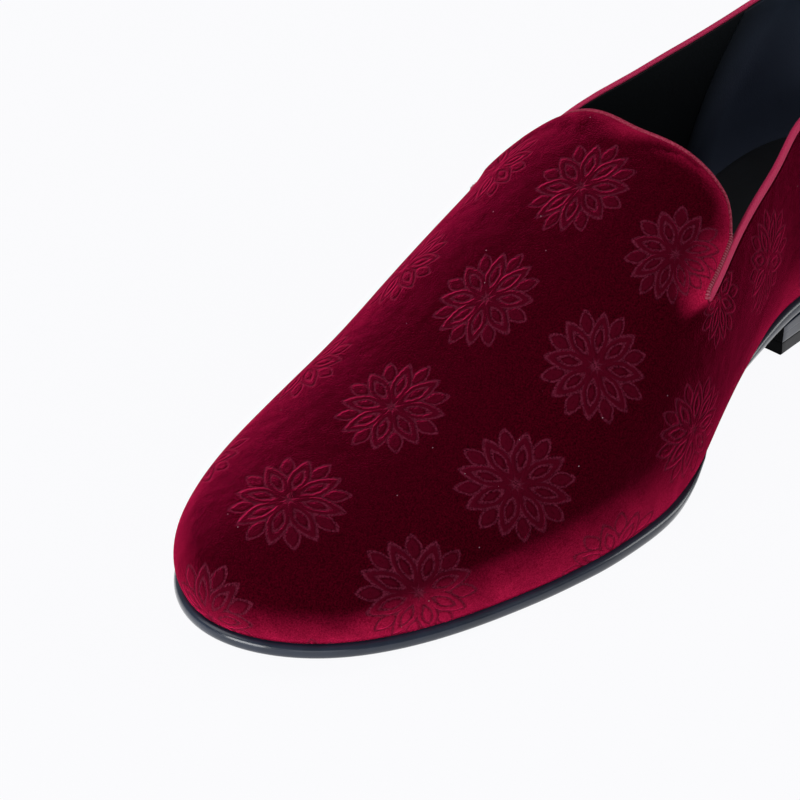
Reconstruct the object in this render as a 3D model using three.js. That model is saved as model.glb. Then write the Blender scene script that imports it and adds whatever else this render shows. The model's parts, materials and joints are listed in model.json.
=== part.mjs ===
// A left velvet slipper-loafer with a leather sole and a low heel.
// Millimetres. +X points to the toe, +Y to the wearer's left (the outer side of the foot), +Z up.
// The origin lies on the floor, under the middle of the shoe's box.
import * as THREE from "three";
import { mergeVertices } from "three/addons/utils/BufferGeometryUtils.js";

// Driving sizes
const LENGTH = 297; // heel back to toe tip, along the outsole
const SOLE_THICK = 4.2; // outsole at its edge
const LEDGE = 0.9; // how far the outsole stands out past the upper's wall
const ROLL_IN = 1.0; // how far the wall rolls in to its seam at the sole
const ROLL_HIGH = 6; // height in which it does
const WALL = 2.0; // upper: velvet, interlining and lining together
const GAP = 0.3; // clearance between neighbouring pieces
const TAPE_GAP = 0.7; // clearance round the tape, which bends with the wall
const TOE_ROUND = 0.286; // share of the length in which the toe closes
const TOE_POWER = 2.46;
const HEEL_ROUND = 0.125; // share of the length in which the heel closes
const HEEL_POWER = 2.2;
const WAIST_TUCK = 7.5; // how far the outsole's edge is bevelled under the upper at the waist
const WAIST_FROM = 0.306;
const WAIST_TO = 0.6;
const BREAST = 0.302; // station of the heel's front face
const LIFT_THICK = 4.2; // the heel's wearing layer
const INSOLE_THICK = 2.6;
const BINDING_HIGH = 2.1; // height of the tape that shows
const BINDING_THICK = 1.4; // the folded tape; the lining is glued behind it
const BINDING_PROUD = 0.2; // how far the tape stands off the velvet
const SLIT_END = 0.49; // station where the slit beside the tongue ends

// A row for each section, from the heel back (0) to the toe tip (1).
// left, right: the outsole's reach each side of the axis before the ends close;
// under: its underside above the floor;
// crest: the height that the section closes at; lean: the station of that crest;
// side, top: how full the section is; swellLeft, swellRight: how far the wall swells past the sole.
const COLUMNS = ["at", "left", "right", "under", "crest", "lean", "side", "top", "swellLeft", "swellRight"];
const SECTIONS = [
  [0, 33, 32, 12.5, 122, 0.085, 1.35, 1, 0.09, 0.09],
  [0.06, 33.4, 32.6, 12.5, 120, 0.115, 1.35, 1, 0.1, 0.1],
  [0.12, 33.2, 32.5, 12.5, 117, 0.155, 1.35, 1, 0.13, 0.13],
  [0.21, 31.8, 31, 12.5, 110, 0.22, 1.3, 1, 0.21, 0.23],
  [0.29, 30.4, 29.2, 10.8, 99, 0.291, 1.1, 0.97, 0.31, 0.39],
  [0.38, 36.4, 30, 6, 89.2, 0.379, 0.75, 0.9, 0.34, 0.48],
  [0.46, 45, 34.4, 2.7, 82.8, 0.459, 0.67, 0.89, 0.25, 0.41],
  [0.53, 53.2, 40.7, 0.8, 75, 0.53, 0.68, 0.9, 0.14, 0.24],
  [0.6, 57, 46.4, 0, 67, 0.6, 0.75, 0.91, 0.09, 0.12],
  [0.66, 56.5, 48.9, 0, 58.3, 0.66, 0.83, 0.91, 0.07, 0.08],
  [0.72, 53.3, 49.4, 0, 50.3, 0.718, 0.86, 0.88, 0.067, 0.067],
  [0.78, 49.9, 49, 0.7, 44, 0.77, 0.86, 0.85, 0.067, 0.067],
  [0.84, 47.5, 48.7, 1.9, 39.6, 0.813, 0.87, 0.84, 0.075, 0.075],
  [0.9, 46, 48.4, 3.5, 36.4, 0.848, 0.86, 0.83, 0.077, 0.077],
  [0.95, 45.2, 48.6, 5.1, 34, 0.871, 0.84, 0.81, 0.077, 0.077],
  [1, 44, 48.5, 7, 31.5, 0.888, 0.82, 0.8, 0.077, 0.077],
];
// Height of the collar's top edge above the floor, lower on the outer side to clear the ankle.
// Columns: station, left, right.
const COLLAR = [
  [0, 77.3, 77.3],
  [0.06, 75.8, 75],
  [0.13, 74.8, 72.7],
  [0.2, 74.7, 73.4],
  [0.27, 73.8, 74.8],
  [0.33, 70.4, 74.5],
  [0.38, 68, 72],
  [0.42, 65.6, 67.5],
  [0.45, 62.3, 63.6],
  [0.49, 58, 59],
];
// The tongue's back edge. Columns: share from the slit's side (0) to the crest (1), station.
const TONGUE_BACK = [
  [0, 0.428],
  [0.05, 0.415],
  [0.15, 0.407],
  [0.3, 0.406],
  [0.5, 0.408],
  [0.75, 0.413],
  [1, 0.419],
];

// How finely each piece is drawn
const VAMP_STEPS = 28;
const QUARTER_STEPS = 24;
const QUARTER_ROWS = 7;
const TONGUE_STEPS = 6;
const TONGUE_ROWS = 8;
const SOLE_STEPS = 44;
const HEEL_STEPS = 16;

// A smooth curve through the rows that never overshoots them.
function curve(rows) {
  const n = rows.length;
  const step = [];
  const rise = [];
  for (let i = 0; i < n - 1; i++) {
    step.push(rows[i + 1][0] - rows[i][0]);
    rise.push((rows[i + 1][1] - rows[i][1]) / step[i]);
  }
  const slope = rows.map((_, i) => {
    if (i === 0) return rise[0];
    if (i === n - 1) return rise[n - 2];
    if (rise[i - 1] * rise[i] <= 0) return 0;
    const before = 2 * step[i] + step[i - 1];
    const after = step[i] + 2 * step[i - 1];
    return (before + after) / (before / rise[i - 1] + after / rise[i]);
  });
  return (at) => {
    const u = Math.min(Math.max(at, rows[0][0]), rows[n - 1][0]);
    let i = 0;
    while (i < n - 2 && u > rows[i + 1][0]) i++;
    const t = (u - rows[i][0]) / step[i];
    const t2 = t * t;
    const t3 = t2 * t;
    return (
      rows[i][1] * (2 * t3 - 3 * t2 + 1) +
      slope[i] * step[i] * (t3 - 2 * t2 + t) +
      rows[i + 1][1] * (3 * t2 - 2 * t3) +
      slope[i + 1] * step[i] * (t3 - t2)
    );
  };
}

const last = {};
COLUMNS.slice(1).forEach((name, column) => {
  last[name] = curve(SECTIONS.map((row) => [row[0], row[column + 1]]));
});
const collarLeft = curve(COLLAR.map(([at, left]) => [at, left]));
const collarRight = curve(COLLAR.map(([at, , right]) => [at, right]));
const collarHeight = (side, at) => (side > 0 ? collarLeft(at) : collarRight(at));
const tongueBack = curve(TONGUE_BACK);
const widest = (name) => Math.max(...SECTIONS.map((row) => row[COLUMNS.indexOf(name)]));
const ACROSS = (widest("left") - widest("right")) / 2; // puts the box's middle at y = 0

const axis = (at) => (last.left(at) - last.right(at)) / 2 - ACROSS;

// How far the outline has closed in at the heel and at the toe, 1 between them.
function closing(at) {
  const heel = Math.max(HEEL_ROUND - at, 0) / HEEL_ROUND;
  const toe = Math.max(at - (1 - TOE_ROUND), 0) / TOE_ROUND;
  const open = (1 - Math.min(heel, 1) ** HEEL_POWER) * (1 - Math.min(toe, 1) ** TOE_POWER);
  return Math.sqrt(Math.max(open, 0));
}

// A point of the outsole's outline moved in by inset; side is 1 for left and -1 for right.
function outline(side, at, inset) {
  const half = (last.left(at) + last.right(at)) / 2;
  return {
    x: (at - 0.5) * (LENGTH - 2 * inset),
    y: axis(at) + side * Math.max(half - inset, 0) * closing(at),
  };
}

// How far the waist is bevelled at a station.
function tuck(at) {
  const share = (at - WAIST_FROM) / (WAIST_TO - WAIST_FROM);
  return share > 0 && share < 1 ? WAIST_TUCK * Math.sin(Math.PI * share) ** 1.6 : 0;
}

const blend = (a, b, t) => a + (b - a) * t;
const seat = (at) => last.under(at) + SOLE_THICK + GAP; // where the upper's edge stands

// A point of the upper's outer face: turn runs from 0 at the sole to 1 at the crest.
function skin(side, at, turn) {
  const foot = outline(side, at, LEDGE);
  const long = LENGTH - 2 * LEDGE;
  const crestAt = last.lean(at);
  const crest = { x: (crestAt - 0.5) * long, y: axis(crestAt) };
  const angle = (turn * Math.PI) / 2;
  const swell = side > 0 ? last.swellLeft(at) : last.swellRight(at);
  const up = Math.sin(angle) ** last.top(at);
  const low = Math.max(1 - (up * (last.crest(at) - seat(at))) / ROLL_HIGH, 0);
  const roll = (ROLL_IN * low ** 2) / Math.hypot(foot.x - crest.x, foot.y - crest.y);
  const full = Math.max(Math.cos(angle), 0) ** last.side(at) * (1 + swell * Math.sin(2 * angle));
  const out = full - roll;
  const x = crest.x + (foot.x - crest.x) * out;
  const high = last.crest(x / long + 0.5);
  return new THREE.Vector3(x, crest.y + (foot.y - crest.y) * out, blend(seat(at), high, up));
}

// The turn at which the wall of a station reaches a height.
function turnAt(side, at, height) {
  let low = 0;
  let high = 1;
  for (let n = 0; n < 30; n++) {
    const middle = (low + high) / 2;
    if (skin(side, at, middle).z < height) low = middle;
    else high = middle;
  }
  return low;
}

// A sheet of quads whose points are merged by place.
class Sheet {
  constructor() {
    this.points = [];
    this.quads = [];
    this.found = new Map();
  }
  point(p) {
    const key = [p.x, p.y, p.z].map((v) => Math.round(v * 500)).join();
    if (!this.found.has(key)) {
      this.found.set(key, this.points.length);
      this.points.push(p);
    }
    return this.found.get(key);
  }
  // Adds a grid place(i, j), with its front face on the side that i then j turn anticlockwise.
  grid(columns, rows, place, flipped) {
    const index = [];
    for (let i = 0; i <= columns; i++) {
      index.push([]);
      for (let j = 0; j <= rows; j++) index[i].push(this.point(place(i, j)));
    }
    for (let i = 0; i < columns; i++)
      for (let j = 0; j < rows; j++) {
        const quad = [index[i][j], index[i + 1][j], index[i + 1][j + 1], index[i][j + 1]];
        this.quads.push(flipped ? quad.reverse() : quad);
      }
  }
  triangles() {
    const out = [];
    for (const [a, b, c, d] of this.quads)
      for (const t of [[a, b, c], [a, c, d]])
        if (t[0] !== t[1] && t[1] !== t[2] && t[0] !== t[2]) out.push(t);
    return out;
  }
  normals() {
    const sum = this.points.map(() => new THREE.Vector3());
    for (const [a, b, c] of this.triangles()) {
      const ab = this.points[b].clone().sub(this.points[a]);
      const face = ab.cross(this.points[c].clone().sub(this.points[a]));
      for (const k of [a, b, c]) sum[k].add(face);
    }
    return sum.map((n) => n.normalize());
  }
}

function geometryOf(points, triangles) {
  const geometry = new THREE.BufferGeometry();
  const numbers = points.flatMap((p) => [p.x, p.y, p.z]);
  geometry.setAttribute("position", new THREE.Float32BufferAttribute(numbers, 3));
  geometry.setIndex(triangles.flat());
  return mergeVertices(geometry, 1e-3);
}

// Gives a sheet a wall: its face moved out by outward, a second face inward from it, and edges between.
function thicken(sheet, outward, inward) {
  const normals = sheet.normals();
  const count = sheet.points.length;
  const outer = sheet.points.map((p, k) => p.clone().addScaledVector(normals[k], outward));
  const inner = sheet.points.map((p, k) => p.clone().addScaledVector(normals[k], -inward));
  const faces = sheet.triangles();
  const all = [...faces];
  const edges = new Set(faces.flatMap(([a, b, c]) => [a + "," + b, b + "," + c, c + "," + a]));
  for (const [a, b, c] of faces) all.push([c + count, b + count, a + count]);
  for (const edge of edges) {
    const [a, b] = edge.split(",").map(Number);
    if (edges.has(b + "," + a)) continue;
    all.push([b, a, a + count], [b, a + count, b + count]);
  }
  return geometryOf([...outer, ...inner], all);
}

// Stations that crowd towards the heel back, and towards the toe tip.
const fromHeel = (t) => SLIT_END * (1 - Math.cos((t * Math.PI) / 2));
const toToe = (t) => blend(SLIT_END, 1, Math.sin((t * Math.PI) / 2));
// Share of the wall's height at each of its rows, which crowd towards the sole.
const lowRow = (j) => (j / QUARTER_ROWS) ** 1.6;

function upperGeometry() {
  const sheet = new Sheet();
  const rows = QUARTER_ROWS + 1 + TONGUE_ROWS;
  const cut = BINDING_HIGH + TAPE_GAP;
  for (const side of [1, -1]) {
    const flipped = side > 0;
    const quarterTop = (at) => turnAt(side, at, collarHeight(side, at) - cut);
    const tongueSide = (at) => turnAt(side, at, collarHeight(side, at) + TAPE_GAP);
    // The turn of each row across the slit's end, spread evenly further towards the toe.
    const rowTurn = (j, forward) => {
      const low = blend(quarterTop(SLIT_END), QUARTER_ROWS / rows, forward);
      const high = blend(tongueSide(SLIT_END), (QUARTER_ROWS + 1) / rows, forward);
      if (j <= QUARTER_ROWS) return low * lowRow(j);
      return blend(high, 1, (j - QUARTER_ROWS - 1) / TONGUE_ROWS);
    };
    sheet.grid(
      VAMP_STEPS,
      rows,
      (i, j) => skin(side, toToe(i / VAMP_STEPS), rowTurn(j, Math.min((2 * i) / VAMP_STEPS, 1))),
      flipped,
    );
    sheet.grid(
      QUARTER_STEPS,
      QUARTER_ROWS,
      (i, j) => {
        const at = fromHeel(i / QUARTER_STEPS);
        return skin(side, at, quarterTop(at) * lowRow(j));
      },
      flipped,
    );
    sheet.grid(
      TONGUE_STEPS,
      TONGUE_ROWS,
      (i, j) => {
        const share = j / TONGUE_ROWS;
        const at = blend(tongueBack(share), SLIT_END, i / TONGUE_STEPS);
        return skin(side, at, blend(tongueSide(at), 1, share));
      },
      flipped,
    );
  }
  return thicken(sheet, 0, WALL);
}

function bindingGeometry() {
  const sheet = new Sheet();
  const end = SLIT_END - TAPE_GAP / LENGTH;
  for (const side of [1, -1])
    sheet.grid(
      QUARTER_STEPS,
      2,
      (i, j) => {
        const at = (fromHeel(i / QUARTER_STEPS) * end) / SLIT_END;
        return skin(side, at, turnAt(side, at, collarHeight(side, at) - BINDING_HIGH * (1 - j / 2)));
      },
      side > 0,
    );
  return thicken(sheet, BINDING_PROUD, BINDING_THICK - BINDING_PROUD);
}

// A plate bounded by the outsole's outline between two stations.
// Each level is an inset and a height as a function of station, listed from the bottom up.
function plateGeometry(levels, from, to, steps) {
  const sheet = new Sheet();
  const station = (i) => {
    const turn = (Math.PI * i) / steps;
    return blend(from, to, to === 1 ? (1 - Math.cos(turn)) / 2 : 1 - Math.cos(turn / 2));
  };
  const place = (side, i, level) => {
    const at = station(i);
    const p = outline(side, at, level.inset + (level.tuck || 0) * tuck(at));
    return new THREE.Vector3(p.x, p.y, level.height(at));
  };
  for (const side of [1, -1])
    sheet.grid(steps, levels.length - 1, (i, j) => place(side, i, levels[j]), side > 0);
  const bottom = levels[0];
  const top = levels[levels.length - 1];
  sheet.grid(steps, 1, (i, j) => place(j ? 1 : -1, i, top), false);
  sheet.grid(steps, 1, (i, j) => place(j ? 1 : -1, i, bottom), true);
  if (to < 1)
    sheet.grid(levels.length - 1, 1, (i, j) => place(j ? 1 : -1, steps, levels[i]), true);
  return geometryOf(sheet.points, sheet.triangles());
}

// A level at a height above the outsole's underside; share is how much of the waist's bevel it takes.
const above = (inset, height, share = 0) => ({
  inset,
  tuck: share,
  height: (at) => last.under(at) + height,
});

function outsoleGeometry() {
  const levels = [
    above(1.6, 0, 1),
    above(0.5, 0.4, 0.95),
    above(0, 1.3, 0.85),
    above(0, 2.9, 0.6),
    above(0.45, 3.8, 0.45),
    above(1.4, SOLE_THICK, 0.35),
  ];
  return plateGeometry(levels, 0, 1, SOLE_STEPS);
}

function heelBlockGeometry() {
  const levels = [
    { inset: 1, height: () => LIFT_THICK + GAP },
    { inset: 0.7, height: (at) => blend(LIFT_THICK, last.under(at), 0.5) },
    { inset: 0.5, height: (at) => last.under(at) - GAP },
  ];
  return plateGeometry(levels, 0, BREAST, HEEL_STEPS);
}

function liftGeometry() {
  const levels = [
    { inset: 1.6, height: () => 0 },
    { inset: 1.1, height: () => 0.5 },
    { inset: 1, height: () => LIFT_THICK },
  ];
  return plateGeometry(levels, 0, BREAST, HEEL_STEPS);
}

function insoleGeometry() {
  const inset = LEDGE + ROLL_IN + WALL + GAP;
  const base = SOLE_THICK + GAP;
  const levels = [above(inset, base), above(inset, base + 1.8), above(inset + 0.8, base + INSOLE_THICK)];
  return plateGeometry(levels, 0, 1, SOLE_STEPS);
}

const shoe = new THREE.Group();
function addPiece(name, geometry, colour, roughness) {
  const material = new THREE.MeshStandardMaterial({ color: colour, roughness, metalness: 0 });
  const mesh = new THREE.Mesh(geometry, material);
  mesh.name = name;
  shoe.add(mesh);
}
addPiece("outsole", outsoleGeometry(), "#2b2e35", 0.35);
addPiece("heel_block", heelBlockGeometry(), "#2b2e35", 0.35);
addPiece("heel_top_lift", liftGeometry(), "#1a1b1f", 0.6);
addPiece("insole", insoleGeometry(), "#0c0d11", 0.7);
addPiece("upper", upperGeometry(), "#4a0416", 0.95);
addPiece("topline_binding", bindingGeometry(), "#8e2743", 0.8);

export default shoe;
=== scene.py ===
import json
import math

import bpy
from mathutils import Matrix, Vector
from mathutils.kdtree import KDTree

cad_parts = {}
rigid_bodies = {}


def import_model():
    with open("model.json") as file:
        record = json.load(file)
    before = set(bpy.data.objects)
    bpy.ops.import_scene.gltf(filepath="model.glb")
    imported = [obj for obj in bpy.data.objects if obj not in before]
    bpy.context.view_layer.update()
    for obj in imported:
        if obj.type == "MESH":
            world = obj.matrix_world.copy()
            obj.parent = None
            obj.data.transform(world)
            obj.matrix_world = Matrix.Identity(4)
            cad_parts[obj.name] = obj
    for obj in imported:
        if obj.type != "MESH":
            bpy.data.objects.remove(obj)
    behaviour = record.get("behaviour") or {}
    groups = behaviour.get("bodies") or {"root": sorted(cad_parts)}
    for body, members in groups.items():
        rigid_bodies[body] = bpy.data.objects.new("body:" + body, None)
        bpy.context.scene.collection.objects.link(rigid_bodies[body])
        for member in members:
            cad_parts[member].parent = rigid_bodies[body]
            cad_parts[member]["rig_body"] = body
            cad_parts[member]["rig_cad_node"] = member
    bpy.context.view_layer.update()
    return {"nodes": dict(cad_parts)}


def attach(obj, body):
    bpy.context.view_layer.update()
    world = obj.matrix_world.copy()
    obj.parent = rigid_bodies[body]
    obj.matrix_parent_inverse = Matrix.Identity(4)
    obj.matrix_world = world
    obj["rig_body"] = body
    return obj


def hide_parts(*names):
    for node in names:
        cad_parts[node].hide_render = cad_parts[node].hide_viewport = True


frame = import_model()

# Outsole: one layer of sole leather, cut to the last's outline and bevelled thin at the waist.
# Its edge is rounded, dyed black, waxed and ironed to a polish, and it is cemented under the upper.
MM = 0.001
MERGE = 0.002 * MM  # corners closer than this are one
PAIR_BEND = math.radians(50)  # two triangles that bend less, and are less askew, become a quad
PAIR_SKEW = math.radians(60)
FIRM_BEND = math.radians(35)  # on a firm piece a sharper bend shows as an edge
WIDE_FACE = 6 * MM  # only the top and bottom faces of sole and insole reach further across
JOINT_X = 8 * MM  # before the waist the edge stands out a little more on the outer side
JOINT_HALF = 28 * MM  # half the length of that stretch
JOINT_OUT = 2.0 * MM
OUTER_RIM = 20 * MM  # only places further out than this move


def copy_of(node, name):
    """A copy of a CAD solid to work on: its loose triangles merged and paired back into quads."""
    bpy.ops.object.select_all(action="DESELECT")
    solid = frame["nodes"][node]
    solid.select_set(True)
    bpy.context.view_layer.objects.active = solid
    bpy.ops.object.duplicate()
    piece = bpy.context.object
    piece.name = name
    piece.data.name = name
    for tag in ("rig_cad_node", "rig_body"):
        del piece[tag]
    piece.data.materials.clear()
    bpy.ops.object.mode_set(mode="EDIT")
    bpy.ops.mesh.customdata_custom_splitnormals_clear()
    bpy.ops.mesh.select_all(action="SELECT")
    bpy.ops.mesh.remove_doubles(threshold=MERGE)
    bpy.ops.mesh.tris_convert_to_quads(face_threshold=PAIR_BEND, shape_threshold=PAIR_SKEW)
    bpy.ops.mesh.mark_sharp(clear=True)
    bpy.ops.object.mode_set(mode="OBJECT")
    return piece


def pick(piece, kind, wanted):
    """Enters edit mode with only the wanted vertices, edges or faces selected."""
    bpy.ops.object.select_all(action="DESELECT")
    piece.select_set(True)
    bpy.context.view_layer.objects.active = piece
    bpy.ops.object.mode_set(mode="EDIT")
    bpy.ops.mesh.select_mode(type=kind)
    bpy.ops.mesh.select_all(action="DESELECT")
    bpy.ops.object.mode_set(mode="OBJECT")
    mesh = piece.data
    items = {"VERT": mesh.vertices, "EDGE": mesh.edges, "FACE": mesh.polygons}[kind]
    for item in items:
        item.select = wanted(item)
    bpy.ops.object.mode_set(mode="EDIT")


def finish_with(piece, kind, **settings):
    """Adds a modifier to the active piece and applies it."""
    bpy.context.view_layer.objects.active = piece
    bpy.ops.object.modifier_add(type=kind)
    modifier = piece.modifiers[-1]
    for name, value in settings.items():
        setattr(modifier, name, value)
    bpy.ops.object.modifier_apply(modifier=modifier.name)


def across(piece, face):
    """How far a face reaches from side to side."""
    sides = [piece.data.vertices[v].co.y for v in face.vertices]
    return max(sides) - min(sides)


def swell(value, middle, half):
    """One at the middle of a stretch, easing to nought at half its length away."""
    near = max(1 - abs(value - middle) / half, 0)
    return near * near * (3 - 2 * near)


def linear(code):
    """A colour given as sRGB hex, as the linear colour that a shader takes."""
    parts = [int(code[i : i + 2], 16) / 255 for i in (1, 3, 5)]
    return [p / 12.92 if p <= 0.04045 else ((p + 0.055) / 1.055) ** 2.4 for p in parts] + [1.0]


def add(tree, kind, links=None, **settings):
    """Adds a node; links gives its inputs a value or another node's output."""
    node = tree.nodes.new(kind)
    for name, value in settings.items():
        setattr(node, name, value)
    for socket, value in (links or {}).items():
        if isinstance(value, bpy.types.NodeSocket):
            tree.links.new(value, node.inputs[socket])
        else:
            node.inputs[socket].default_value = value
    return node


def new_material(name, piece):
    """An empty material on a piece, and its node tree."""
    material = bpy.data.materials.new(name)
    material.use_nodes = True
    material.node_tree.nodes.clear()
    piece.data.materials.append(material)
    return material.node_tree


outsole = copy_of("outsole", "leather_outsole")
for vertex in outsole.data.vertices:
    if vertex.co.y > OUTER_RIM:
        vertex.co.y += JOINT_OUT * swell(vertex.co.x, JOINT_X, JOINT_HALF)
pick(outsole, "FACE", lambda face: across(outsole, face) > WIDE_FACE)
bpy.ops.mesh.region_to_loop()
bpy.ops.transform.edge_crease(value=1.0)
bpy.ops.object.mode_set(mode="OBJECT")
finish_with(outsole, "SUBSURF", levels=2, render_levels=2)
bpy.ops.object.shade_smooth_by_angle(angle=FIRM_BEND)

# Waxed sole leather, dyed black: the iron leaves a smooth, hard polish with faint rub marks along the edge.
tree = new_material("black_waxed_sole_leather", outsole)
place = add(tree, "ShaderNodeTexCoord").outputs["Object"]
rubs = add(tree, "ShaderNodeTexNoise", {"Vector": place, "Scale": 1 / (6 * MM), "Detail": 4})
grain = add(tree, "ShaderNodeTexNoise", {"Vector": place, "Scale": 1 / (0.5 * MM), "Detail": 2})
tones = {0: rubs.outputs["Fac"], 6: linear("#151d29"), 7: linear("#273145")}
dye = add(tree, "ShaderNodeMix", tones, data_type="RGBA")
gloss = add(tree, "ShaderNodeMapRange", {"Value": rubs.outputs["Fac"], "To Min": 0.22, "To Max": 0.42})
relief = add(tree, "ShaderNodeBump", {"Height": grain.outputs["Fac"], "Strength": 0.15, "Distance": 0.1 * MM})
shader = add(
    tree,
    "ShaderNodeBsdfPrincipled",
    {
        "Base Color": dye.outputs[2],
        "Roughness": gloss.outputs[0],
        "Normal": relief.outputs[0],
        "Specular IOR Level": 0.25,
        "Coat Weight": 1.0,
        "Coat Roughness": 0.18,
        "Coat IOR": 1.42,
    },
)
add(tree, "ShaderNodeOutputMaterial", {"Surface": shader.outputs[0]})
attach(outsole, "root")
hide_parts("outsole")

# Heel block: lifts of sole leather glued and pegged under the seat, trimmed to a straight breast.
# The sides are sanded, dyed black and polished with the sole's edge; the breast is left duller, and its
# darker colour is painted shade.
RIM = math.radians(40)  # a solid's rims bend more sharply than this
HEEL_ROUNDING = 0.15 * MM
LAYER = 3.9 * MM  # a lift's thickness
LAYER_SEAM = 0.2 * MM  # half the width of the line between two lifts
BREAST = 0.8  # a face that looks this much straight ahead is on the breast


def firm_edges(piece):
    """Smooths a solid along its sides and keeps its rims, which get a small rounding."""
    pick(piece, "EDGE", lambda edge: False)
    bpy.ops.mesh.edges_select_sharp(sharpness=RIM)
    bpy.ops.transform.edge_crease(value=1.0)
    bpy.ops.object.mode_set(mode="OBJECT")
    finish_with(piece, "SUBSURF", levels=2, render_levels=2)
    finish_with(piece, "BEVEL", width=HEEL_ROUNDING, segments=2, limit_method="ANGLE", angle_limit=RIM)
    bpy.ops.object.shade_smooth_by_angle(angle=FIRM_BEND)


heel = copy_of("heel_block", "stacked_heel_block")
firm_edges(heel)

# Stacked heel leather, dyed black: faint lines where the lifts meet, a soft polish.
tree = new_material("black_stacked_heel_leather", heel)
place = add(tree, "ShaderNodeTexCoord").outputs["Object"]
rubs = add(tree, "ShaderNodeTexNoise", {"Vector": place, "Scale": 1 / (5 * MM), "Detail": 4})
level = add(tree, "ShaderNodeSeparateXYZ", {0: place})
lifts = add(tree, "ShaderNodeMath", {0: level.outputs[2], 1: LAYER / 2}, operation="PINGPONG")
seam = add(tree, "ShaderNodeMapRange", {"Value": lifts.outputs[0], "From Min": 0.0, "From Max": LAYER_SEAM})
tones = {0: rubs.outputs["Fac"], 6: linear("#151d29"), 7: linear("#273145")}
dye = add(tree, "ShaderNodeMix", tones, data_type="RGBA")
gloss = add(tree, "ShaderNodeMapRange", {"Value": rubs.outputs["Fac"], "To Min": 0.24, "To Max": 0.44})
relief = add(tree, "ShaderNodeBump", {"Height": seam.outputs[0], "Strength": 0.5, "Distance": 0.1 * MM})
shader = add(
    tree,
    "ShaderNodeBsdfPrincipled",
    {
        "Base Color": dye.outputs[2],
        "Roughness": gloss.outputs[0],
        "Normal": relief.outputs[0],
        "Specular IOR Level": 0.25,
        "Coat Weight": 1.0,
        "Coat Roughness": 0.18,
        "Coat IOR": 1.42,
    },
)
add(tree, "ShaderNodeOutputMaterial", {"Surface": shader.outputs[0]})


def breast_painted_shade(piece):
    """Gives the flat front of the heel, its breast, a raw finish without polish and a darker colour that is
    painted shade.
    """
    tree = new_material("black_breast_painted_shade", piece)
    place = add(tree, "ShaderNodeTexCoord").outputs["Object"]
    rough = add(tree, "ShaderNodeTexNoise", {"Vector": place, "Scale": 1 / (1.2 * MM), "Detail": 3})
    tones = {0: rough.outputs["Fac"], 6: linear("#050608"), 7: linear("#0d0f12")}
    dye = add(tree, "ShaderNodeMix", tones, data_type="RGBA")
    look = {"Base Color": dye.outputs[2], "Roughness": 0.9, "Specular IOR Level": 0.1}
    shader = add(tree, "ShaderNodeBsdfPrincipled", look)
    add(tree, "ShaderNodeOutputMaterial", {"Surface": shader.outputs[0]})
    for face in piece.data.polygons:
        face.material_index = 1 if face.normal.x > BREAST else 0


breast_painted_shade(heel)
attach(heel, "root")
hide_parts("heel_block")

# Top lift: the wearing layer of black rubber, nailed and glued under the heel block.
# It is sanded flush with the heel, so only its line and its duller surface show.
lift = copy_of("heel_top_lift", "rubber_top_lift")
firm_edges(lift)

# Moulded rubber, sanded: a fine even grit and no polish.
tree = new_material("black_sanded_rubber", lift)
place = add(tree, "ShaderNodeTexCoord").outputs["Object"]
grit = add(tree, "ShaderNodeTexNoise", {"Vector": place, "Scale": 1 / (0.4 * MM), "Detail": 2})
tones = {0: grit.outputs["Fac"], 6: linear("#090a0c"), 7: linear("#17191d")}
shade = add(tree, "ShaderNodeMix", tones, data_type="RGBA")
relief = add(tree, "ShaderNodeBump", {"Height": grit.outputs["Fac"], "Strength": 0.3, "Distance": 0.15 * MM})
shader = add(
    tree,
    "ShaderNodeBsdfPrincipled",
    {"Base Color": shade.outputs[2], "Roughness": 0.5, "Normal": relief.outputs[0], "IOR": 1.52},
)
add(tree, "ShaderNodeOutputMaterial", {"Surface": shader.outputs[0]})
breast_painted_shade(lift)
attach(lift, "root")
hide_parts("heel_top_lift")

# Insole: the board that the upper is lasted over, covered by a thin black leather sock.
# It lies inside the upper on the outsole; the sock is glued down and softly rounded at its rim.
SOFT_BEND = math.radians(50)  # on a soft piece only a sharper bend shows as an edge

insole = copy_of("insole", "leather_insole_sock")
pick(insole, "FACE", lambda face: across(insole, face) > WIDE_FACE)
bpy.ops.mesh.region_to_loop()
bpy.ops.transform.edge_crease(value=0.8)
bpy.ops.object.mode_set(mode="OBJECT")
finish_with(insole, "SUBSURF", levels=2, render_levels=2)
bpy.ops.object.shade_smooth_by_angle(angle=SOFT_BEND)

# Thin glazed kid, black: a fine pebbled grain that catches a little light.
tree = new_material("black_kid_sock", insole)
place = add(tree, "ShaderNodeTexCoord").outputs["Object"]
pebble = add(tree, "ShaderNodeTexVoronoi", {"Vector": place, "Scale": 1 / (0.8 * MM)})
worn = add(tree, "ShaderNodeTexNoise", {"Vector": place, "Scale": 1 / (15 * MM), "Detail": 3})
tones = {0: worn.outputs["Fac"], 6: linear("#222326"), 7: linear("#333539")}
dye = add(tree, "ShaderNodeMix", tones, data_type="RGBA")
relief = add(tree, "ShaderNodeBump", {"Height": pebble.outputs[0], "Strength": 0.35, "Distance": 0.12 * MM})
shader = add(
    tree,
    "ShaderNodeBsdfPrincipled",
    {"Base Color": dye.outputs[2], "Roughness": 0.55, "Normal": relief.outputs[0], "IOR": 1.48},
)
add(tree, "ShaderNodeOutputMaterial", {"Surface": shader.outputs[0]})
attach(insole, "root")
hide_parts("insole")

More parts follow.
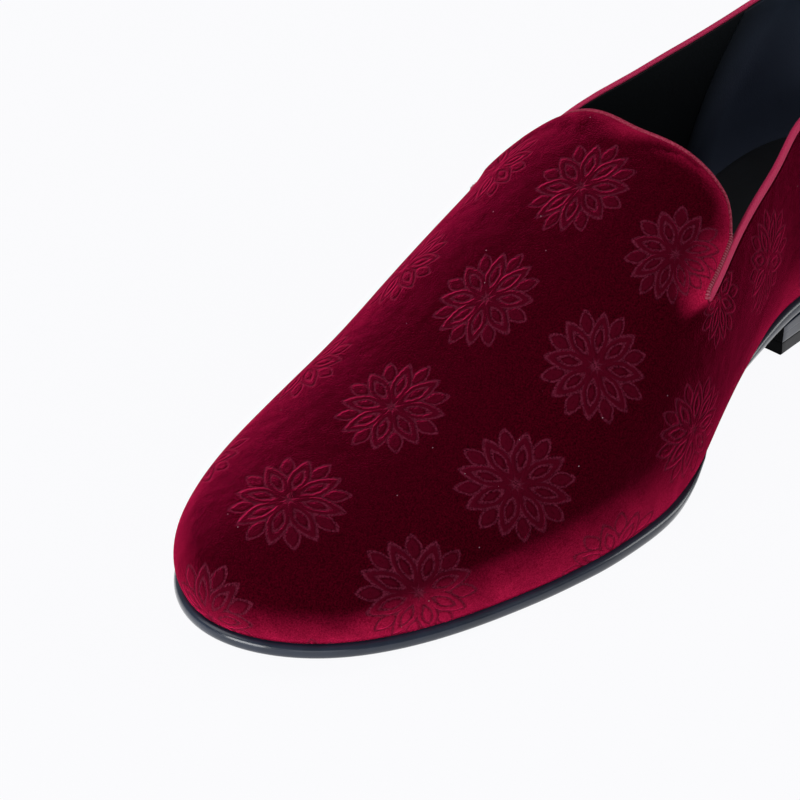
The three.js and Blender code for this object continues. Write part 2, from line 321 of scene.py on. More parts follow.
# Lining: soft black leather that covers the inside of the wall from the toe to the heel.
# It is glued to the interlining and runs up behind the tape, a little short of its top edge.
LINING = 0.6 * MM  # its thickness
LINING_RISE = 2.0 * MM  # how far it runs up behind the tape
WALL_EDGE = math.radians(55)  # the wall's edges bend more sharply than this
FAIRLY_LEVEL = 0.5  # a face with this much of its normal upright
COLLAR_FRONT = -4 * MM  # the collar's edge lies behind this
COLLAR_LOW = 40 * MM  # and above this
TONGUE_BACK = -31 * MM  # the tongue's edge lies before this
SLIT_END = -2.9 * MM  # and behind this
TONGUE_LOW = 56 * MM  # and above a line that is this high at the middle of the shoe
TONGUE_RISE = 0.36  # and rises this steeply towards the heel
# Where the collar gives way on the outer side: place along the shoe, half length, how far out it moves
EASES = ((-54 * MM, 19 * MM, 2.3 * MM), (-80 * MM, 24 * MM, -2.6 * MM))
EASE_FROM = 45 * MM  # the wall below this height stays
EASE_FULL = 70 * MM  # and above this it moves all the way


def keep_sheet(piece, outward):
    """Keeps only the outer or the inner face of the shell, found from its highest face."""
    pick(piece, "EDGE", lambda edge: False)
    bpy.ops.mesh.edges_select_sharp(sharpness=WALL_EDGE)
    bpy.ops.mesh.mark_sharp()
    bpy.ops.object.mode_set(mode="OBJECT")
    faces = [face for face in piece.data.polygons if face.normal.z * outward > FAIRLY_LEVEL]
    start = max(faces, key=lambda face: face.center.z).index
    pick(piece, "FACE", lambda face: face.index == start)
    bpy.ops.mesh.select_linked(delimit={"SHARP"})
    bpy.ops.mesh.select_all(action="INVERT")
    bpy.ops.mesh.delete(type="FACE")
    bpy.ops.mesh.select_all(action="SELECT")
    bpy.ops.mesh.mark_sharp(clear=True)
    bpy.ops.object.mode_set(mode="OBJECT")


def open_points(piece):
    """The vertices along a sheet's open edges."""
    sides = {}
    for face in piece.data.polygons:
        for edge in face.edge_keys:
            sides[edge] = sides.get(edge, 0) + 1
    return {v for edge, count in sides.items() if count == 1 for v in edge}


def on_tongue(place):
    """Whether a place at the shell's open edge is on the tongue rather than on the quarters' top."""
    return TONGUE_BACK < place.x < SLIT_END and place.z + TONGUE_RISE * place.x > TONGUE_LOW


def part_way(value, start, end):
    """How far a value has come from start to end: nought before it, one past it."""
    return min(max((value - start) / (end - start), 0), 1)


def ease_collar(piece):
    """Eases the soft collar out and in on the outer side, so that it runs straight from the slit."""
    for vertex in piece.data.vertices:
        if vertex.co.y > 0:
            out = sum(most * swell(vertex.co.x, middle, half) for middle, half, most in EASES)
            vertex.co.y += out * part_way(vertex.co.z, EASE_FROM, EASE_FULL)


def thicken(piece, thickness, side):
    """Gives a sheet its thickness: side -1 grows it behind its face, 1 in front."""
    creases = {"edge_crease_inner": 1.0, "edge_crease_outer": 1.0, "edge_crease_rim": 1.0}
    finish_with(piece, "SOLIDIFY", thickness=thickness, offset=side, **creases)


lining = copy_of("upper", "leather_lining")
keep_sheet(lining, -1)
ease_collar(lining)
mesh = lining.data
rim = open_points(lining)
steepest = {}
for edge in mesh.edges:
    low, top = sorted(edge.vertices, key=lambda v: v in rim)
    if low not in rim and top in rim:
        rise = (mesh.vertices[top].co - mesh.vertices[low].co).normalized()
        if top not in steepest or rise.z > steepest[top].z:
            steepest[top] = rise
for top, rise in steepest.items():
    point = mesh.vertices[top].co
    if point.x < COLLAR_FRONT and point.z > COLLAR_LOW and not on_tongue(point):
        point += rise * LINING_RISE
bpy.ops.object.duplicate()
grip = bpy.context.object  # the heel grip starts from the same sheet
grip.select_set(False)
lining.select_set(True)
bpy.context.view_layer.objects.active = lining
thicken(lining, LINING, -1.0)
finish_with(lining, "SUBSURF", levels=1, render_levels=1)
bpy.ops.object.shade_smooth_by_angle(angle=SOFT_BEND)

# Lining kid, black: matt, with a fine grain.
tree = new_material("black_lining_kid", lining)
place = add(tree, "ShaderNodeTexCoord").outputs["Object"]
pebble = add(tree, "ShaderNodeTexVoronoi", {"Vector": place, "Scale": 1 / (0.9 * MM)})
soft = add(tree, "ShaderNodeTexNoise", {"Vector": place, "Scale": 1 / (20 * MM), "Detail": 2})
tones = {0: soft.outputs["Fac"], 6: linear("#05090c"), 7: linear("#0b1014")}
dye = add(tree, "ShaderNodeMix", tones, data_type="RGBA")
relief = add(tree, "ShaderNodeBump", {"Height": pebble.outputs[0], "Strength": 0.3, "Distance": 0.1 * MM})
shader = add(
    tree,
    "ShaderNodeBsdfPrincipled",
    {
        "Base Color": dye.outputs[2],
        "Roughness": 0.6,
        "Normal": relief.outputs[0],
        "Specular IOR Level": 0.25,
    },
)
add(tree, "ShaderNodeOutputMaterial", {"Surface": shader.outputs[0]})
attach(lining, "root")

# Heel grip: a panel of navy suede round the inside of the heel, which keeps the foot from slipping.
# It is cut on a slant that leans back towards the collar, glued and sewn on the lining.
GRIP = 0.4 * MM  # its thickness
GRIP_TOP = Vector((-106.5, 0.0, 66.3)) * MM  # a place on its slanted front edge
GRIP_FRONT = Vector((0.86, 0.0, 0.51))  # square to that edge
GRIP_DARK = 15 * MM  # how far back from that edge the suede is darker, as painted shade
FILL_FROM = 68 * MM  # painted light makes it paler from this height
FILL_FULL = 35 * MM  # down to this one

grip.name = "suede_heel_grip"
grip.data.name = "suede_heel_grip"
pick(grip, "FACE", lambda face: True)
bpy.ops.mesh.bisect(plane_co=GRIP_TOP, plane_no=GRIP_FRONT, clear_outer=True)
bpy.ops.object.mode_set(mode="OBJECT")
thicken(grip, GRIP, 1.0)
finish_with(grip, "SUBSURF", levels=1, render_levels=1)
bpy.ops.object.shade_smooth_by_angle(angle=SOFT_BEND)

# Suede, navy: a short matt nap that shows brushed patches, with painted shade at the front and painted light,
# paler, lower down.
tree = new_material("navy_suede", grip)
place = add(tree, "ShaderNodeTexCoord").outputs["Object"]
nap = add(tree, "ShaderNodeTexNoise", {"Vector": place, "Scale": 1 / (0.6 * MM), "Detail": 3})
brushed = add(tree, "ShaderNodeTexNoise", {"Vector": place, "Scale": 1 / (14 * MM), "Detail": 2})
level = add(tree, "ShaderNodeSeparateXYZ", {0: place})
painted_fill = {"Value": level.outputs[2], "From Min": FILL_FROM, "From Max": FILL_FULL}
painted_fill = add(tree, "ShaderNodeMapRange", painted_fill)
tones = {0: brushed.outputs["Fac"], 6: linear("#232b38"), 7: linear("#343f50")}
dye = add(tree, "ShaderNodeMix", tones, data_type="RGBA")
tones = {0: painted_fill.outputs[0], 6: dye.outputs[2], 7: linear("#68728a")}
dye = add(tree, "ShaderNodeMix", tones, data_type="RGBA")
forward = add(tree, "ShaderNodeVectorMath", {0: place, 1: GRIP_FRONT}, operation="DOT_PRODUCT")
front_edge = GRIP_TOP.dot(GRIP_FRONT)
shaded = {"Value": forward.outputs["Value"], "From Min": front_edge - GRIP_DARK, "From Max": front_edge}
shaded = add(tree, "ShaderNodeMapRange", shaded)
tones = {0: shaded.outputs[0], 6: dye.outputs[2], 7: linear("#131921")}
dye = add(tree, "ShaderNodeMix", tones, data_type="RGBA")
relief = add(tree, "ShaderNodeBump", {"Height": nap.outputs["Fac"], "Strength": 0.5, "Distance": 0.2 * MM})
shader = add(
    tree,
    "ShaderNodeBsdfPrincipled",
    {"Base Color": dye.outputs[2], "Roughness": 0.9, "Normal": relief.outputs[0], "Specular IOR Level": 0.2},
)
add(tree, "ShaderNodeOutputMaterial", {"Surface": shader.outputs[0]})
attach(grip, "root")

# Upper: one cut of velvet on an interlining, closed by a seam at the heel and lasted over the insole.
# The vamp runs up into a rounded tongue with a slit each side; a rosette is pressed into the pile.
CLOTH = 1.2 * MM  # velvet and interlining; the lining takes the rest of the wall
BACK_SEAM_Y = -3.3 * MM  # the heel's middle, which lies a little to the right of the shoe's box
HEEL_BACK = -100 * MM  # the seam lies behind this
SEAM_NEAR = 0.4 * MM  # the solid's own edges lie this close to it
SEAM_DEEP = 0.45 * MM
SEAM_WIDE = 1.1 * MM
SLITS_MIDDLE = 0.5 * MM  # half way between the two slits
SLIT_WIDE = 0.8 * MM
TIP_X = -28 * MM  # the tongue's rounded tip ends here
SIDE_X = -18 * MM  # and its sides start here
EDGE_STARTS = -2 * MM  # the tongue's edge is flat at the slits' ends
EDGE_FULL = -6 * MM  # and curled and padded from here back
CURL_DEEP = 0.8 * MM  # how far the edge is turned in
CURL_WIDE = 3.5 * MM
PAD_HIGH = 1.1 * MM  # how far its padding swells
PAD_WIDE = 10 * MM
PAD_AT_TIP = 0.4  # share of that swell at the tip
FEATHER_HIGH = 30 * MM  # open edges below this are the feather, where the upper meets the sole
SOLE_SHEEN_FRONT = 12 * MM  # how far up from the feather the painted sheen reaches, at the toe
SOLE_SHEEN_OUTER = 22 * MM  # the same where a place faces out
SOLE_SHEEN_INNER = 28 * MM  # the same where a place faces in
FACES_OUT = 0.8  # how much of its normal then points to the outer side
SOLE_SHEEN_AHEAD = 0.45  # share of the painted sheen where a place faces straight ahead
SOLE_SHEEN_FADE = 1.25  # how fast that fades upwards
TUCK_SHADE = 1.2 * MM  # where the pile tucks in at the feather, a band this wide stays dark: a painted shadow line
EDGE_SHEEN_TIP = 5 * MM  # how far in from the tongue's edge the painted sheen reaches at the tip
EDGE_SHEEN_SLIT = 12 * MM  # the same at the slits
EDGE_SHEEN_FROM = -26 * MM  # it widens from here
EDGE_SHEEN_FULL = -8 * MM  # to here
EDGE_SHEEN_FADE = 1.2  # how fast that fades inwards


def on_back_seam(edge):
    """Whether an edge of the upper runs along the seam at the heel."""
    ends = [upper.data.vertices[v].co for v in edge.vertices]
    return all(end.x < HEEL_BACK and abs(end.y - BACK_SEAM_Y) < SEAM_NEAR for end in ends)


upper = copy_of("upper", "velvet_upper")
keep_sheet(upper, 1)
ease_collar(upper)
pick(upper, "EDGE", on_back_seam)
bpy.ops.mesh.mark_seam()
bpy.ops.mesh.select_all(action="SELECT")
bpy.ops.uv.unwrap(method="MINIMUM_STRETCH", margin=0.0)
bpy.ops.object.mode_set(mode="OBJECT")

# The cut's plan in metres: nought at the middle of the tongue's edge, the toe straight below it.
mesh = upper.data
mesh.uv_layers.active.name = "cloth"
plan = mesh.uv_layers["cloth"].data
place_of = {}
for loop in mesh.loops:
    place_of[loop.vertex_index] = plan[loop.index].uv.copy()
toe = max(mesh.vertices, key=lambda vertex: vertex.co.x).index
tongue = max(mesh.vertices, key=lambda vertex: vertex.co.z).index
real = 0.0
drawn = 0.0
for face in mesh.polygons:
    corners = [plan[i].uv for i in face.loop_indices]
    real += face.area
    drawn += abs(sum(a.cross(b) for a, b in zip(corners, corners[1:] + corners[:1]))) / 2
down = place_of[toe] - place_of[tongue]
turn = Matrix.Rotation(-math.pi / 2 - math.atan2(down.y, down.x), 2)
origin = place_of[tongue].copy()
for corner in plan:
    corner.uv = turn @ (corner.uv - origin) * math.sqrt(real / drawn)

# The tongue's edge is padded and turned in, and the back seam pulls the cloth in along a line.
finish_with(upper, "SUBSURF", levels=2, render_levels=2, boundary_smooth="PRESERVE_CORNERS")
mesh = upper.data


def open_edge(wanted):
    """A tree that finds the nearest of the wanted points along the upper's open edges."""
    points = [mesh.vertices[v].co.copy() for v in open_points(upper)]
    points = [point for point in points if wanted(point)]
    found = KDTree(len(points))
    for i, point in enumerate(points):
        found.insert(point, i)
    found.balance()
    return found


tongue_rim = open_edge(on_tongue)
feather = open_edge(lambda point: point.z < FEATHER_HIGH)
painted_sheen = mesh.attributes.new("painted_sheen", "FLOAT", "POINT")  # painted sheen: how much brighter the pile is painted, as grazing light would show it
moves = []
for vertex in mesh.vertices:
    x, y = vertex.co.xy
    rim_point, _, gap = tongue_rim.find(vertex.co)
    inside = abs(rim_point.y - SLITS_MIDDLE) - abs(y - SLITS_MIDDLE)
    inside = part_way(inside, -SLIT_WIDE, 0)  # nought on the quarters, across the slit
    at_edge = inside * part_way(x, EDGE_STARTS, EDGE_FULL)
    at_side = part_way(x, TIP_X, SIDE_X)
    curl = CURL_DEEP * max(1 - gap / CURL_WIDE, 0) ** 2
    pad = PAD_HIGH * math.sin(math.pi * min(gap / PAD_WIDE, 1))
    pad *= PAD_AT_TIP + (1 - PAD_AT_TIP) * at_side
    dip = SEAM_DEEP * max(1 - abs(y - BACK_SEAM_Y) / SEAM_WIDE, 0) if x < HEEL_BACK else 0
    moves.append(vertex.normal * ((pad - curl) * at_edge - dip))
    # Painted sheen: the pile is painted brighter near the feather, more where a place faces sideways, and
    # near the tongue's edge.
    facing = vertex.normal.y
    reach = SOLE_SHEEN_FRONT + (SOLE_SHEEN_OUTER - SOLE_SHEEN_FRONT) * part_way(facing, FACES_OUT, 1)
    reach += (SOLE_SHEEN_INNER - SOLE_SHEEN_FRONT) * max(-facing, 0)
    from_sole = feather.find(vertex.co)[2]
    sole_sheen = max(1 - from_sole / reach, 0) * min(from_sole / TUCK_SHADE, 1)
    sole_sheen = sole_sheen**SOLE_SHEEN_FADE * (SOLE_SHEEN_AHEAD + (1 - SOLE_SHEEN_AHEAD) * abs(facing))
    reach = EDGE_SHEEN_TIP + (EDGE_SHEEN_SLIT - EDGE_SHEEN_TIP) * part_way(x, EDGE_SHEEN_FROM, EDGE_SHEEN_FULL)
    tongue_edge_sheen = max(1 - gap / reach, 0) ** EDGE_SHEEN_FADE * inside * (1 + at_side) / 2
    painted_sheen.data[vertex.index].value = max(sole_sheen, tongue_edge_sheen)
for vertex, move in zip(mesh.vertices, moves):
    vertex.co += move
tongue_rim = open_edge(on_tongue)
thicken(upper, CLOTH, -1.0)
bpy.ops.object.shade_smooth_by_angle(angle=SOFT_BEND)

# Cotton velvet, crimson: the upright pile swallows light seen end on and glows seen from the side.
# The press lays it flat in thin lines, which look dusty, and leaves the bars between them standing.
PITCH = 41 * MM  # from one rosette to the next
FIRST_ROSETTE = 24 * MM  # from the tongue's edge to the middle of the nearest one
PETAL = (7.6 * MM, 7.0 * MM, 2.9 * MM)  # out to its middle, half its length, half its width
BUD = (12.2 * MM, 3.6 * MM, 2.0 * MM)  # the same for the bud between two petals
LEAF_POWER = 1.5  # the outline of both: 1 would be a diamond, 2 an ellipse
LINE_CORE = 0.2  # share of a line's width that is pressed flat
FUZZ = 0.7 * MM  # how far the pile blurs the pressed lines
LINT_APART = 7 * MM
LINT = 0.15 * MM  # a speck's radius

tree = new_material("crimson_pressed_velvet", upper)
place = add(tree, "ShaderNodeTexCoord").outputs["Object"]
cloth = add(tree, "ShaderNodeUVMap", uv_map="cloth").outputs[0]
fuzz = add(tree, "ShaderNodeTexNoise", {"Vector": place, "Scale": 1 / (1.1 * MM), "Detail": 2})
blurred = {0: fuzz.outputs["Color"], 1: (FUZZ, FUZZ, 0.0), 2: cloth}
blurred = add(tree, "ShaderNodeVectorMath", blurred, operation="MULTIPLY_ADD")
shifted = {0: blurred.outputs[0], 1: (0.0, FIRST_ROSETTE, 0.0)}
shifted = add(tree, "ShaderNodeVectorMath", shifted, operation="ADD")
cell = {0: shifted.outputs[0], 1: (PITCH / 2,) * 3, 2: (-PITCH / 2,) * 3}
cell = add(tree, "ShaderNodeVectorMath", cell, operation="WRAP")
fold = add(tree, "ShaderNodeVectorMath", {0: cell.outputs[0]}, operation="ABSOLUTE")
folded = add(tree, "ShaderNodeSeparateXYZ", {0: fold.outputs[0]})
longer = add(tree, "ShaderNodeMath", {0: folded.outputs[0], 1: folded.outputs[1]}, operation="MAXIMUM")
shorter = add(tree, "ShaderNodeMath", {0: folded.outputs[0], 1: folded.outputs[1]}, operation="MINIMUM")
eighth = add(tree, "ShaderNodeCombineXYZ", {0: longer.outputs[0], 1: shorter.outputs[0]})
COS = math.cos(math.pi / 8)
SIN = math.sin(math.pi / 8)
along = add(tree, "ShaderNodeVectorMath", {0: eighth.outputs[0], 1: (COS, SIN, 0)}, operation="DOT_PRODUCT")
aside = add(tree, "ShaderNodeVectorMath", {0: eighth.outputs[0], 1: (-SIN, COS, 0)}, operation="DOT_PRODUCT")
aside = add(tree, "ShaderNodeMath", {0: aside.outputs["Value"]}, operation="ABSOLUTE")


def leaf(out, off, middle, half_long, half_wide):
    """Nought at a rounded leaf's middle and one at its edge, from places along and beside its axis."""
    away = add(tree, "ShaderNodeMath", {0: out, 1: middle}, operation="SUBTRACT").outputs[0]
    parts = []
    for gap, half in ((away, half_long), (off, half_wide)):
        part = add(tree, "ShaderNodeMath", {0: gap, 1: half}, operation="DIVIDE")
        part = add(tree, "ShaderNodeMath", {0: part.outputs[0]}, operation="ABSOLUTE")
        part = add(tree, "ShaderNodeMath", {0: part.outputs[0], 1: LEAF_POWER}, operation="POWER")
        parts.append(part.outputs[0])
    return add(tree, "ShaderNodeMath", {0: parts[0], 1: parts[1]}, operation="ADD").outputs[0]


petal = leaf(along.outputs["Value"], aside.outputs[0], *PETAL)
spoke = add(tree, "ShaderNodeCombineXYZ", {0: along.outputs["Value"], 1: aside.outputs[0]})
bud_out = add(tree, "ShaderNodeVectorMath", {0: spoke.outputs[0], 1: (COS, SIN, 0)}, operation="DOT_PRODUCT")
bud_off = add(tree, "ShaderNodeVectorMath", {0: spoke.outputs[0], 1: (SIN, -COS, 0)}, operation="DOT_PRODUCT")
bud = leaf(bud_out.outputs["Value"], bud_off.outputs["Value"], *BUD)


def near_level(value, level, width):
    """One where a value is at a level, fading to nought at width beside it."""
    gap = add(tree, "ShaderNodeMath", {0: value, 1: level}, operation="SUBTRACT")
    gap = add(tree, "ShaderNodeMath", {0: gap.outputs[0]}, operation="ABSOLUTE")
    fade = {"Value": gap.outputs[0], "From Min": width * LINE_CORE, "From Max": width}
    fade |= {"To Min": 1.0, "To Max": 0.0}
    return add(tree, "ShaderNodeMapRange", fade, interpolation_type="SMOOTHSTEP").outputs[0]


def strongest(*values):
    """The largest of some values."""
    best = values[0]
    for value in values[1:]:
        best = add(tree, "ShaderNodeMath", {0: best, 1: value}, operation="MAXIMUM").outputs[0]
    return best


# Each line or bar: its leaf, its level from the middle to the edge, and its width
LINES = ((petal, 1.0, 0.24), (petal, 0.34, 0.17), (bud, 1.0, 0.36))
BARS = ((petal, 0.67, 0.36), (petal, 0.0, 0.22), (bud, 0.3, 0.55))
lines = strongest(*(near_level(*line) for line in LINES))
bars = strongest(*(near_level(*bar) for bar in BARS))

nap = {"Vector": place, "Scale": 1 / (0.5 * MM), "Detail": 3, "Roughness": 0.7}
nap = add(tree, "ShaderNodeTexNoise", nap)
tufts = {"Value": nap.outputs["Fac"], "From Min": 0.32, "From Max": 0.68}
tufts = add(tree, "ShaderNodeMapRange", tufts)
strokes = {"Vector": place, "Scale": 1 / (9 * MM), "Detail": 2, "Roughness": 0.5}
strokes = add(tree, "ShaderNodeTexNoise", strokes)
height = 0.0
for value, share in ((nap.outputs["Fac"], 0.35), (strokes.outputs["Fac"], 0.9), (bars, 0.3), (lines, -0.1)):
    height = add(tree, "ShaderNodeMath", {0: value, 1: share, 2: height}, operation="MULTIPLY_ADD").outputs[0]
relief = add(tree, "ShaderNodeBump", {"Height": height, "Strength": 1.0, "Distance": MM})
tones = {0: tufts.outputs[0], 6: linear("#1c0005"), 7: linear("#4c0214")}
pile = add(tree, "ShaderNodeMix", tones, data_type="RGBA")
tones = {0: bars, 6: pile.outputs[2], 7: linear("#4a0618")}
pile = add(tree, "ShaderNodeMix", tones, data_type="RGBA")
worn = add(tree, "ShaderNodeMath", {0: lines, 1: tufts.outputs[0]}, operation="MULTIPLY")
tones = {0: worn.outputs[0], 6: pile.outputs[2], 7: linear("#6c2439")}
pile = add(tree, "ShaderNodeMix", tones, data_type="RGBA")
# Painted sheen: near the feather and the tongue's edge the pile is painted a bright crimson, as grazing light
# would show it; the pressed lines take less of it.
sheen_attribute = add(tree, "ShaderNodeAttribute", attribute_name="painted_sheen")
patchy_sheen = {"Value": strokes.outputs["Fac"], "From Min": 0.3, "From Max": 0.66, "To Min": 0.58}
patchy_sheen = add(tree, "ShaderNodeMapRange", patchy_sheen)
sheen_share = add(tree, "ShaderNodeMath", {0: sheen_attribute.outputs["Fac"], 1: patchy_sheen.outputs[0]}, operation="MULTIPLY")
tones = {0: tufts.outputs[0], 6: linear("#b00e3a"), 7: linear("#ff2c66")}
sheen_colour = add(tree, "ShaderNodeMix", tones, data_type="RGBA")
free = add(tree, "ShaderNodeMath", {0: lines, 1: -0.75, 2: 1.0}, operation="MULTIPLY_ADD")
sheen_share = add(tree, "ShaderNodeMath", {0: sheen_share.outputs[0], 1: free.outputs[0]}, operation="MULTIPLY")
tones = {0: sheen_share.outputs[0], 6: pile.outputs[2], 7: sheen_colour.outputs[2]}
pile = add(tree, "ShaderNodeMix", tones, data_type="RGBA")
lint = add(tree, "ShaderNodeTexVoronoi", {"Vector": place, "Scale": 1 / LINT_APART})
lint = {0: lint.outputs["Distance"], 1: LINT / LINT_APART}
lint = add(tree, "ShaderNodeMath", lint, operation="LESS_THAN")
tones = {0: lint.outputs[0], 6: pile.outputs[2], 7: linear("#b9a3aa")}
pile = add(tree, "ShaderNodeMix", tones, data_type="RGBA")
shader = add(
    tree,
    "ShaderNodeBsdfPrincipled",
    {
        "Base Color": pile.outputs[2],
        "Roughness": 0.9,
        "Normal": relief.outputs[0],
        "Specular IOR Level": 0.0,
        "Sheen Weight": 1.0,
        "Sheen Roughness": 0.3,
        "Sheen Tint": linear("#ff2868"),
    },
)
add(tree, "ShaderNodeOutputMaterial", {"Surface": shader.outputs[0]})
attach(upper, "root")
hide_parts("upper")

# Rolled edge: the velvet's raw edge round the tongue is rolled over a fine cord and whipped down.
# It shows as a thin paler rim, from one slit round the tongue to the other.
ROLLED = 0.75 * MM  # the roll's radius
ON_RIM = 0.01 * MM  # the cloth's own edge lies this close to the rim


def on_rim(edge):
    """Whether an edge of the upper runs along the tongue's rim."""
    return all(tongue_rim.find(upper.data.vertices[v].co)[2] < ON_RIM for v in edge.vertices)


pick(upper, "EDGE", on_rim)
bpy.ops.mesh.duplicate()
bpy.ops.mesh.separate(type="SELECTED")
bpy.ops.object.mode_set(mode="OBJECT")
upper.select_set(False)
roll = bpy.context.selected_objects[0]
roll.name = "tongue_rolled_edge"
roll.data.materials.clear()
bpy.context.view_layer.objects.active = roll
bpy.ops.object.convert(target="CURVE")
roll_path = [point.co.xyz for point in max(roll.data.splines, key=lambda line: len(line.points)).points]
roll.data.bevel_depth = ROLLED
roll.data.bevel_resolution = 2
roll.data.use_fill_caps = True
bpy.ops.object.convert(target="MESH")
roll.data.name = "tongue_rolled_edge"
bpy.ops.object.shade_smooth()

# Velvet worn over the cord and silk thread: paler than the pile, partly crushed pile and partly a painted
# highlight on the rounded edge, with small pale flecks.
tree = new_material("crimson_rolled_velvet", roll)
place = add(tree, "ShaderNodeTexCoord").outputs["Object"]
flecks = add(tree, "ShaderNodeTexNoise", {"Vector": place, "Scale": 1 / (0.5 * MM), "Detail": 2})
contrast = {"Value": flecks.outputs["Fac"], "From Min": 0.35, "From Max": 0.7}
contrast = add(tree, "ShaderNodeMapRange", contrast)
tones = {0: contrast.outputs[0], 6: linear("#8a1232"), 7: linear("#b54560")}
dye = add(tree, "ShaderNodeMix", tones, data_type="RGBA")
relief = add(tree, "ShaderNodeBump", {"Height": flecks.outputs["Fac"], "Strength": 0.6, "Distance": 0.2 * MM})
shader = add(
    tree,
    "ShaderNodeBsdfPrincipled",
    {
        "Base Color": dye.outputs[2],
        "Roughness": 0.8,
        "Normal": relief.outputs[0],
        "Specular IOR Level": 0.2,
        "Sheen Weight": 0.8,
        "Sheen Roughness": 0.3,
        "Sheen Tint": linear("#ff3c74"),
    },
)
add(tree, "ShaderNodeOutputMaterial", {"Surface": shader.outputs[0]})
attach(roll, "root")

# Slit stitches: close loops of pink silk, sewn over the rolled edge on both sides of the tongue.
# They start at the slits' ends and carry the strain where the foot spreads the slit.
THREAD = 0.13 * MM  # its radius
PROUD = 0.6  # share of that radius by which the thread's middle stands off the roll
FIRST_STITCH = 0.4 * MM  # from the slit's end
STITCH_APART = 0.85 * MM
STITCHES = 27  # in each slit

bpy.ops.object.select_all(action="DESELECT")
bpy.ops.mesh.primitive_torus_add(
    major_radius=ROLLED + THREAD * PROUD, minor_radius=THREAD, major_segments=14, minor_segments=6
)
first = bpy.context.object
loops = []
for path in (roll_path, roll_path[::-1]):
    spots = [FIRST_STITCH + STITCH_APART * i for i in range(STITCHES)]
    walked = 0.0
    for here, ahead in zip(path, path[1:]):
        step = (ahead - here).length
        turned = (ahead - here).to_track_quat("Z", "Y").to_matrix().to_4x4()
        while spots and spots[0] < walked + step:
            spot = here.lerp(ahead, (spots.pop(0) - walked) / step)
            bpy.ops.object.select_all(action="DESELECT")
            first.select_set(True)
            bpy.context.view_layer.objects.active = first
            bpy.ops.object.duplicate()
            stitch = bpy.context.object
            stitch.matrix_world = Matrix.Translation(spot) @ turned
            loops.append(stitch)
        walked += step
bpy.ops.object.select_all(action="DESELECT")
first.select_set(True)
bpy.ops.object.delete()
for stitch in loops:
    stitch.select_set(True)
stitches = loops[0]
bpy.context.view_layer.objects.active = stitches
bpy.ops.object.join()
bpy.ops.object.transform_apply(location=True, rotation=True, scale=True)
bpy.ops.object.shade_smooth()
stitches.name = "slit_stitches"
stitches.data.name = "slit_stitches"

# Spun silk thread, pink: a soft lustre and a faint unevenness.
tree = new_material("pink_silk_thread", stitches)
place = add(tree, "ShaderNodeTexCoord").outputs["Object"]
slub = add(tree, "ShaderNodeTexNoise", {"Vector": place, "Scale": 1 / (1.0 * MM), "Detail": 2})
tones = {0: slub.outputs["Fac"], 6: linear("#98304c"), 7: linear("#cf7288")}
dye = add(tree, "ShaderNodeMix", tones, data_type="RGBA")
shader = add(
    tree,
    "ShaderNodeBsdfPrincipled",
    {"Base Color": dye.outputs[2], "Roughness": 0.5, "IOR": 1.5},
)
add(tree, "ShaderNodeOutputMaterial", {"Surface": shader.outputs[0]})
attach(stitches, "root")

# Binding: a ribbed tape folded over the collar's raw edge and sewn down, its ends tucked into the slits.
# It is woven with a thick weft, which gives the fine ribs across it.
RIB_APART = 0.9 * MM
RIB_HIGH = 0.4  # where the weave's own unevenness is 1
FOLDED = 0.3  # how firmly the tape's folds are creased
HEEL_X = -110 * MM  # where the collar starts to turn round the heel
HEEL_ROUND = 27 * MM  # the radius of that turn

tape = copy_of("topline_binding", "ribbed_collar_tape")
ease_collar(tape)
pick(tape, "EDGE", lambda edge: False)
bpy.ops.mesh.edges_select_sharp(sharpness=RIM)
bpy.ops.transform.edge_crease(value=FOLDED)
bpy.ops.object.mode_set(mode="OBJECT")
finish_with(tape, "SUBSURF", levels=2, render_levels=2)
bpy.ops.object.shade_smooth()
run = tape.data.attributes.new("run", "FLOAT", "POINT")  # the way along the tape, round the heel too
for vertex in tape.data.vertices:
    round_heel = math.atan2(max(HEEL_X - vertex.co.x, 0), abs(vertex.co.y - BACK_SEAM_Y))
    run.data[vertex.index].value = max(vertex.co.x, HEEL_X) - HEEL_ROUND * round_heel

# Rayon ribbon, crimson: a silky sheen, broken by the ribs.
tree = new_material("crimson_ribbed_tape", tape)
place = add(tree, "ShaderNodeTexCoord").outputs["Object"]
weave = add(tree, "ShaderNodeTexNoise", {"Vector": place, "Scale": 1 / (0.5 * MM), "Detail": 2})
tones = {0: weave.outputs["Fac"], 6: linear("#bb2150"), 7: linear("#d43f6a")}
dye = add(tree, "ShaderNodeMix", tones, data_type="RGBA")
way = add(tree, "ShaderNodeAttribute", attribute_name="run")
ribs = {0: way.outputs["Fac"], 1: 2 * math.pi / RIB_APART}
ribs = add(tree, "ShaderNodeMath", ribs, operation="MULTIPLY")
ribs = add(tree, "ShaderNodeMath", {0: ribs.outputs[0]}, operation="SINE")
height = {0: ribs.outputs[0], 1: RIB_HIGH, 2: weave.outputs["Fac"]}
height = add(tree, "ShaderNodeMath", height, operation="MULTIPLY_ADD")
relief = add(tree, "ShaderNodeBump", {"Height": height.outputs[0], "Strength": 0.5, "Distance": 0.15 * MM})
shader = add(
    tree,
    "ShaderNodeBsdfPrincipled",
    {
        "Base Color": dye.outputs[2],
        "Roughness": 0.6,
        "Normal": relief.outputs[0],
        "Specular IOR Level": 0.1,
    },
)
add(tree, "ShaderNodeOutputMaterial", {"Surface": shader.outputs[0]})
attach(tape, "root")
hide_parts("topline_binding")

# Floor: a plain white sweep of paper that glows a little, as a lit one does, so shadows stay faint.
# It shows in the polish but doesn't light the pile.
SWEEP = 8.0  # its width in metres
GLOW = 0.97  # share of its white that is glow rather than lit paper

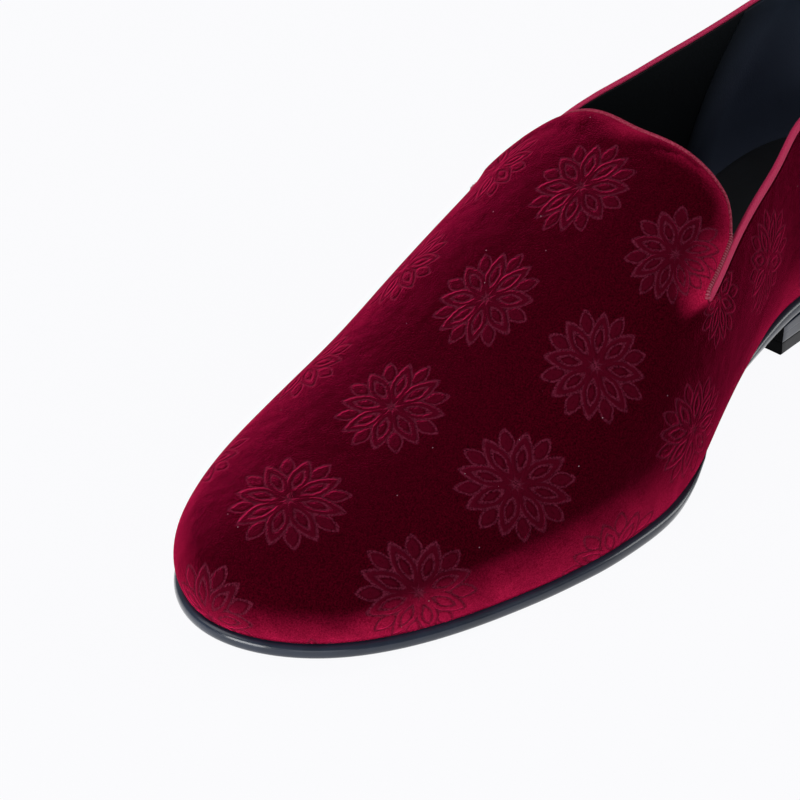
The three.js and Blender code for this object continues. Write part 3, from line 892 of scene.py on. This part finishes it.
bpy.ops.object.select_all(action="DESELECT")
bpy.ops.mesh.primitive_plane_add(size=SWEEP)
floor = bpy.context.object
floor.name = "white_sweep"
tree = new_material("white_sweep_paper", floor)
paper = add(tree, "ShaderNodeBsdfDiffuse", {"Color": linear("#f4f4f6")})
glow = add(tree, "ShaderNodeEmission", {"Color": linear("#fafafc"), "Strength": 1.02})
mixed = add(tree, "ShaderNodeMixShader", {0: GLOW, 1: paper.outputs[0], 2: glow.outputs[0]})
add(tree, "ShaderNodeOutputMaterial", {"Surface": mixed.outputs[0]})
floor.visible_diffuse = False

# Light: a dim room, a soft box low in front of the toe and one behind the heel on the outer side.
# Three faint ones fill in: high on the inner side, low on the outer side and a small one overhead.
ROOM = 0.15  # strength of the room's white
SHOE = (0.03, 0.0, 0.04)  # what the boxes aim at
COLLAR = (-0.03, 0.0, 0.04)

world = bpy.data.worlds.new("studio")
bpy.context.scene.world = world
world.use_nodes = True
world.node_tree.nodes["Background"].inputs[0].default_value = linear("#ffffff")
world.node_tree.nodes["Background"].inputs[1].default_value = ROOM
bpy.context.scene.view_settings.view_transform = "Standard"
# Each soft box: its name, place, aim and width in metres, and its power in watts
for name, spot, aim, size, power in (
    ("front_soft_box", (1.256, 0.0, 0.336), SHOE, 0.7, 12.5),
    ("rear_soft_box", (-0.85, 0.85, 0.5), SHOE, 0.7, 6.8),
    ("side_soft_box", (0.59, -0.59, 1.0), SHOE, 0.7, 2.6),
    ("low_soft_box", (0.9, 0.9, 0.15), SHOE, 0.7, 2.2),
    ("top_soft_box", (-0.05, 0.1, 1.35), COLLAR, 0.22, 1.2),
):
    lamp = bpy.data.lights.new(name, "AREA")
    lamp.size = size
    lamp.energy = power
    holder = bpy.data.objects.new(name, lamp)
    bpy.context.scene.collection.objects.link(holder)
    holder.location = spot
    holder.rotation_euler = (Vector(aim) - Vector(spot)).to_track_quat("-Z", "Y").to_euler()

# Camera: a long lens, high over the toe on the shoe's outer side, turned a little on its axis.
# It stands where the photograph was taken from, so the shoe lies in the same place in the frame.
AZIMUTH = math.radians(133.92)
ELEVATION = math.radians(36.05)
TILT = math.radians(-2.97)  # turn about its own axis
TARGET = Vector((66.3, -9.7, 38.6)) * MM
DISTANCE = 1334 * MM
LENS = 217.4  # focal length in mm, on a sensor 36 mm wide
SENSOR = 36.0

back = Vector(
    (
        math.sin(AZIMUTH) * math.cos(ELEVATION),
        -math.cos(AZIMUTH) * math.cos(ELEVATION),
        math.sin(ELEVATION),
    )
)
right = Vector((math.cos(AZIMUTH), math.sin(AZIMUTH), 0))
up = back.cross(right)
right, up = right * math.cos(TILT) + up * math.sin(TILT), up * math.cos(TILT) - right * math.sin(TILT)
lens = bpy.data.cameras.new("studio_camera")
lens.sensor_width = SENSOR
lens.lens = LENS
lens.clip_start = 0.01
camera = bpy.data.objects.new("studio_camera", lens)
bpy.context.scene.collection.objects.link(camera)
camera.location = TARGET + back * DISTANCE
camera.rotation_euler = Matrix((right, up, back)).transposed().to_euler()
bpy.context.scene.camera = camera
